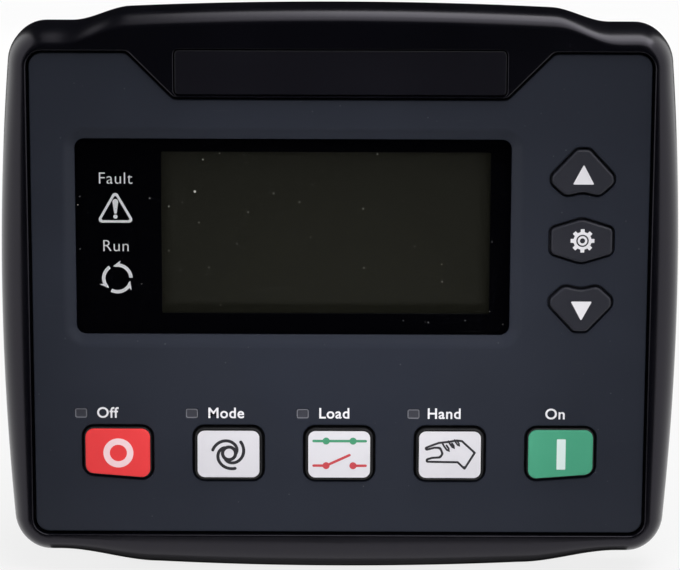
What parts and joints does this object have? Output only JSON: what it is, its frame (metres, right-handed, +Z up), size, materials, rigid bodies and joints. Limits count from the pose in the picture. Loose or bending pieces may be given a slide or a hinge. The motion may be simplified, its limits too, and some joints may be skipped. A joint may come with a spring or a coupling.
{
  "type": "genset controller",
  "caption": "Panel-mounted genset controller with a moulded front bezel, display window, sprung keys, rear case, plug-in terminals and screw clamps.",
  "frame": {"origin": "middle of the panel cut-out, on the panel's front face", "axes": "+X to the right seen from the front, +Z up, +Y into the panel"},
  "size_m": [0.142, 0.052, 0.1203],
  "materials": {
    "bezel_abs": "satin moulded",
    "plate_abs": "fine matt",
    "name_film": "satin",
    "lens_acrylic": "polished",
    "display_cell": "polished",
    "light_guide": "polished",
    "display_frame": "blackened",
    "gasket_foam": "foam",
    "key_red": "satin",
    "key_white": "satin",
    "key_green": "satin",
    "key_grey": "satin",
    "switch_nylon": "moulded",
    "lamp_clear": "frosted",
    "led_resin": "clear resin",
    "board_laminate": "solder mask",
    "chip_epoxy": "moulded",
    "relay_shell": "moulded",
    "can_sleeve": "sleeved",
    "cell_steel": "plated",
    "terminal_nylon": "moulded",
    "screw_steel": "zinc plated",
    "usb_tinplate": "tin plated",
    "case_abs": "fine spark texture",
    "bracket_nylon": "moulded"
  },
  "bodies": {
    "controller": {"front_bezel": "bezel_abs", "face_plate": "plate_abs", "name_plate": "name_film", "display_lens": "lens_acrylic", "lcd_glass": "display_cell", "lcd_backlight": "light_guide", "lcd_frame": "display_frame", "panel_gasket": "gasket_foam", "switch_bodies": "switch_nylon", "light_pipe_off": "lamp_clear", "light_pipe_mode": "lamp_clear", "light_pipe_load": "lamp_clear", "light_pipe_hand": "lamp_clear", "indicator_leds": "led_resin", "display_board": "board_laminate", "io_board": "board_laminate", "processor": "chip_epoxy", "pin_header": "chip_epoxy", "pin_socket": "chip_epoxy", "battery_holder": "chip_epoxy", "relay_1": "relay_shell", "relay_2": "relay_shell", "relay_3": "relay_shell", "relay_4": "relay_shell", "capacitors": "can_sleeve", "clock_battery": "cell_steel", "terminal_socket_1": "terminal_nylon", "terminal_socket_2": "terminal_nylon", "terminal_socket_3": "terminal_nylon", "terminal_socket_4": "terminal_nylon", "terminal_plug_1": "terminal_nylon", "terminal_plug_2": "terminal_nylon", "terminal_plug_3": "terminal_nylon", "terminal_plug_4": "terminal_nylon", "terminal_screws": "screw_steel", "case_screws": "screw_steel", "board_screws": "screw_steel", "clamp_screw_left": "screw_steel", "clamp_screw_right": "screw_steel", "usb_socket": "usb_tinplate", "rear_case": "case_abs", "clamp_bracket_left": "bracket_nylon", "clamp_bracket_right": "bracket_nylon"},
    "off_key": {"key_off": "key_red", "plunger_off": "switch_nylon"},
    "mode_key": {"key_mode": "key_white", "plunger_mode": "switch_nylon"},
    "load_key": {"key_load": "key_white", "plunger_load": "switch_nylon"},
    "hand_key": {"key_hand": "key_white", "plunger_hand": "switch_nylon"},
    "on_key": {"key_on": "key_green", "plunger_on": "switch_nylon"},
    "up_key": {"key_up": "key_grey", "plunger_up": "switch_nylon"},
    "menu_key": {"key_menu": "key_grey", "plunger_menu": "switch_nylon"},
    "down_key": {"key_down": "key_grey", "plunger_down": "switch_nylon"}
  },
  "joints": [
    {"name": "off_press", "type": "slide", "parent": "controller", "child": "off_key", "axis": [0, 1, 0], "range_m": [0, 0.0008], "stiffness_N_per_m": 2500},
    {"name": "mode_press", "type": "slide", "parent": "controller", "child": "mode_key", "axis": [0, 1, 0], "range_m": [0, 0.0008], "stiffness_N_per_m": 2500},
    {"name": "load_press", "type": "slide", "parent": "controller", "child": "load_key", "axis": [0, 1, 0], "range_m": [0, 0.0008], "stiffness_N_per_m": 2500},
    {"name": "hand_press", "type": "slide", "parent": "controller", "child": "hand_key", "axis": [0, 1, 0], "range_m": [0, 0.0008], "stiffness_N_per_m": 2500},
    {"name": "on_press", "type": "slide", "parent": "controller", "child": "on_key", "axis": [0, 1, 0], "range_m": [0, 0.0008], "stiffness_N_per_m": 2500},
    {"name": "up_press", "type": "slide", "parent": "controller", "child": "up_key", "axis": [0, 1, 0], "range_m": [0, 0.0008], "stiffness_N_per_m": 2500},
    {"name": "menu_press", "type": "slide", "parent": "controller", "child": "menu_key", "axis": [0, 1, 0], "range_m": [0, 0.0008], "stiffness_N_per_m": 2500},
    {"name": "down_press", "type": "slide", "parent": "controller", "child": "down_key", "axis": [0, 1, 0], "range_m": [0, 0.0008], "stiffness_N_per_m": 2500}
  ]
}
